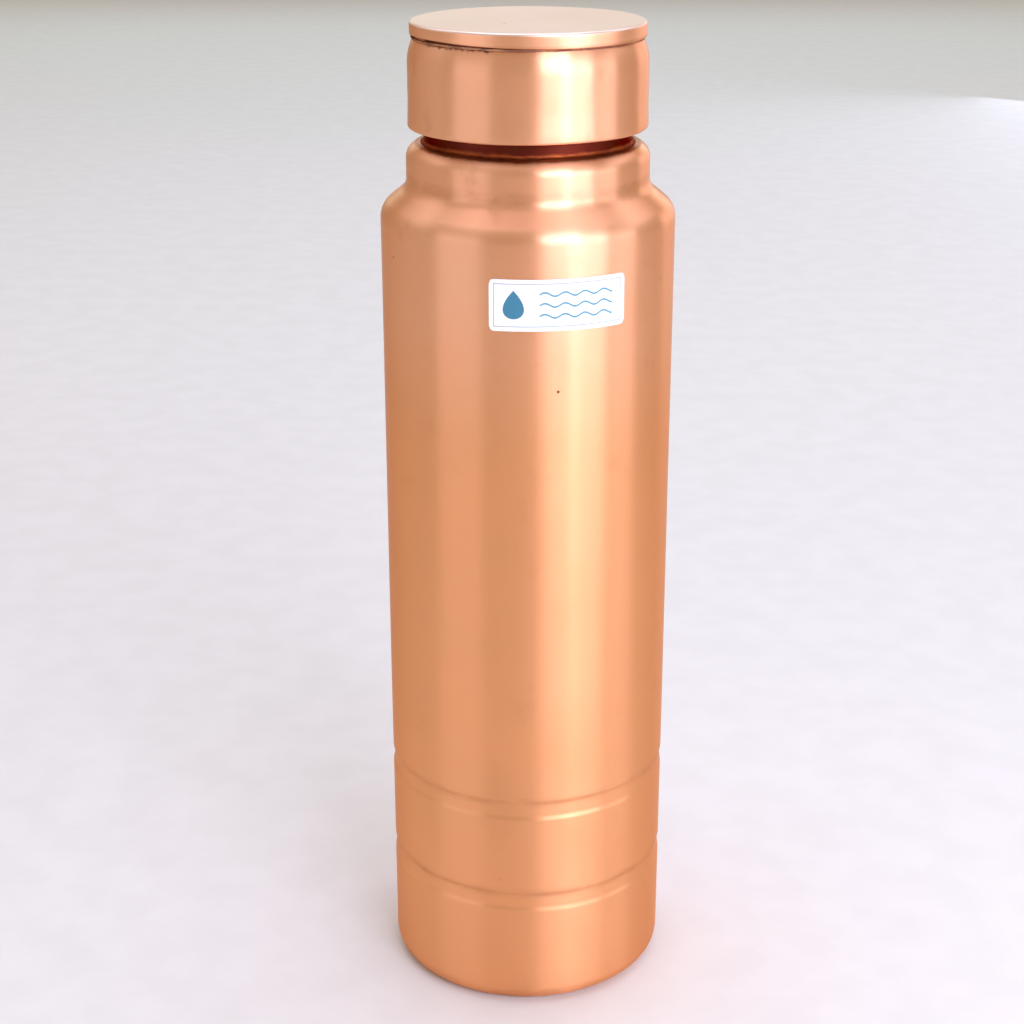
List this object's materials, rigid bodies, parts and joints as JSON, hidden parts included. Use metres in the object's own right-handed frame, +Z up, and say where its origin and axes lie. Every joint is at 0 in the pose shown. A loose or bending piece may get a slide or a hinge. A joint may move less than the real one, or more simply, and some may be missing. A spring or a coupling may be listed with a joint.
{
  "type": "water bottle",
  "caption": "Slim round metal water bottle with shallow grooves near the foot, a stepped shoulder and a straight-sided screw cap closed by a flat disc.",
  "frame": {"origin": "centre of the foot, on the surface that the bottle stands on", "axes": "+Z up along the bottle's axis, -Y towards the front, where the label is"},
  "size_m": [0.073, 0.0732, 0.253],
  "materials": {
    "copper": "satin brushed round the axis",
    "copper_inside": "satin, slightly darker",
    "solder": "rough",
    "silicone": "matt",
    "paper": "smooth"
  },
  "bodies": {
    "bottle": {"barrel_shell": "copper", "base_plate": "copper_inside", "base_solder": "solder", "neck_ring": "copper_inside", "neck_solder": "solder", "label": "paper"},
    "washer": {"cap_washer": "silicone"},
    "cap": {"cap_skirt": "copper", "cap_cover": "copper", "cap_solder": "solder", "cap_thread_cup": "copper_inside", "cup_solder": "solder"}
  },
  "joints": [
    {"name": "cap_lift", "type": "slide", "parent": "bottle", "child": "washer", "axis": [0, 0, 1], "range_m": [0, 0.018]},
    {"name": "cap_turn", "type": "hinge", "parent": "washer", "child": "cap", "pos_m": [0, 0, 0.24], "axis": [0, 0, 1], "range_deg": [0, 1440]}
  ],
  "couplings": [
    {"joint": "cap_lift", "follows": "cap_turn", "m_per_rad": 0.0007162}
  ]
}
